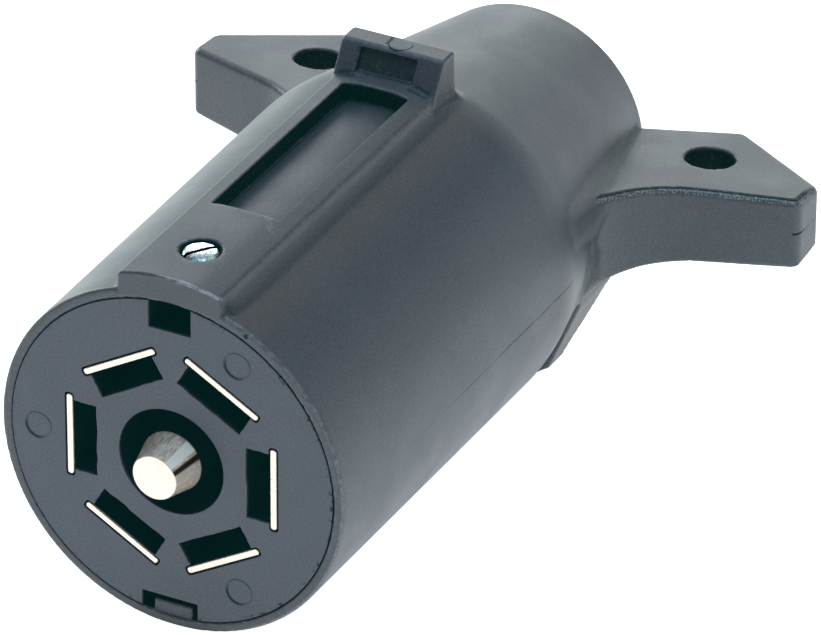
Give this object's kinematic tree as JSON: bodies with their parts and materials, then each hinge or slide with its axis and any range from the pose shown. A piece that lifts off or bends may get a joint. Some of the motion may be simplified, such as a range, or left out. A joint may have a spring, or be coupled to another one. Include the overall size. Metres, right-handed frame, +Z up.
{
  "type": "trailer wiring plug",
  "caption": "Round trailer wiring plug with flat blade contacts around a centre pin, a keyed rib with a lid catch, screw terminals, side ears and a cable clamp.",
  "frame": {"origin": "centre of the flat end of the centre pin, at the mating end of the plug", "axes": "-Y out of the mating end along the plug's axis, +Y towards the cable, +Z up through the rib and lid catch, +X towards one ear"},
  "size_m": [0.0856, 0.1028, 0.0516],
  "materials": {
    "housing_plastic": "moulded satin charcoal",
    "insert_plastic": "moulded satin charcoal",
    "clamp_plastic": "moulded charcoal",
    "contact_metal": "nickel plated",
    "screw_steel": "zinc plated"
  },
  "bodies": {
    "housing": {"housing": "housing_plastic"},
    "insert": {"contact_insert": "insert_plastic", "left_turn_blade": "contact_metal", "running_light_blade": "contact_metal", "battery_blade": "contact_metal", "right_turn_blade": "contact_metal", "brake_blade": "contact_metal", "ground_blade": "contact_metal", "reverse_light_pin": "contact_metal"},
    "left_turn_terminal_screw": {"left_turn_terminal_screw": "screw_steel"},
    "running_light_terminal_screw": {"running_light_terminal_screw": "screw_steel"},
    "battery_terminal_screw": {"battery_terminal_screw": "screw_steel"},
    "right_turn_terminal_screw": {"right_turn_terminal_screw": "screw_steel"},
    "brake_terminal_screw": {"brake_terminal_screw": "screw_steel"},
    "ground_terminal_screw": {"ground_terminal_screw": "screw_steel"},
    "reverse_light_terminal_screw": {"reverse_light_terminal_screw": "screw_steel"},
    "retaining_screw": {"retaining_screw": "screw_steel"},
    "cable_clamp": {"cable_clamp": "clamp_plastic"},
    "cable_clamp_screw_left": {"cable_clamp_screw_left": "screw_steel"},
    "cable_clamp_screw_right": {"cable_clamp_screw_right": "screw_steel"}
  },
  "joints": [
    {"name": "insert_slide", "type": "slide", "parent": "housing", "child": "insert", "axis": [0, -1, 0], "range_m": [0, 0.04]},
    {"name": "left_turn_terminal_screw_travel", "type": "slide", "parent": "insert", "child": "left_turn_terminal_screw", "axis": [1, 0, 0], "range_m": [0, 0.0026]},
    {"name": "running_light_terminal_screw_travel", "type": "slide", "parent": "insert", "child": "running_light_terminal_screw", "axis": [0.5, 0, 0.866], "range_m": [0, 0.0026]},
    {"name": "battery_terminal_screw_travel", "type": "slide", "parent": "insert", "child": "battery_terminal_screw", "axis": [-0.5, 0, 0.866], "range_m": [0, 0.0026]},
    {"name": "right_turn_terminal_screw_travel", "type": "slide", "parent": "insert", "child": "right_turn_terminal_screw", "axis": [-1, 0, 0], "range_m": [0, 0.0026]},
    {"name": "brake_terminal_screw_travel", "type": "slide", "parent": "insert", "child": "brake_terminal_screw", "axis": [-0.5, 0, -0.866], "range_m": [0, 0.0026]},
    {"name": "ground_terminal_screw_travel", "type": "slide", "parent": "insert", "child": "ground_terminal_screw", "axis": [0.5, 0, -0.866], "range_m": [0, 0.0026]},
    {"name": "reverse_light_terminal_screw_travel", "type": "slide", "parent": "insert", "child": "reverse_light_terminal_screw", "axis": [0, 0, 1], "range_m": [0, 0.0026]},
    {"name": "retaining_screw_travel", "type": "slide", "parent": "housing", "child": "retaining_screw", "axis": [0, 0, 1], "range_m": [0, 0.006]},
    {"name": "cable_clamp_slide", "type": "slide", "parent": "housing", "child": "cable_clamp", "axis": [0, 0, 1], "range_m": [0, 0.0025]},
    {"name": "cable_clamp_screw_left_travel", "type": "slide", "parent": "housing", "child": "cable_clamp_screw_left", "axis": [0, 0, 1], "range_m": [0, 0.0025]},
    {"name": "cable_clamp_screw_right_travel", "type": "slide", "parent": "housing", "child": "cable_clamp_screw_right", "axis": [0, 0, 1], "range_m": [0, 0.0025]}
  ],
  "couplings": [
    {"joint": "cable_clamp_screw_left_travel", "follows": "cable_clamp_slide", "ratio": 1},
    {"joint": "cable_clamp_screw_right_travel", "follows": "cable_clamp_slide", "ratio": 1}
  ]
}
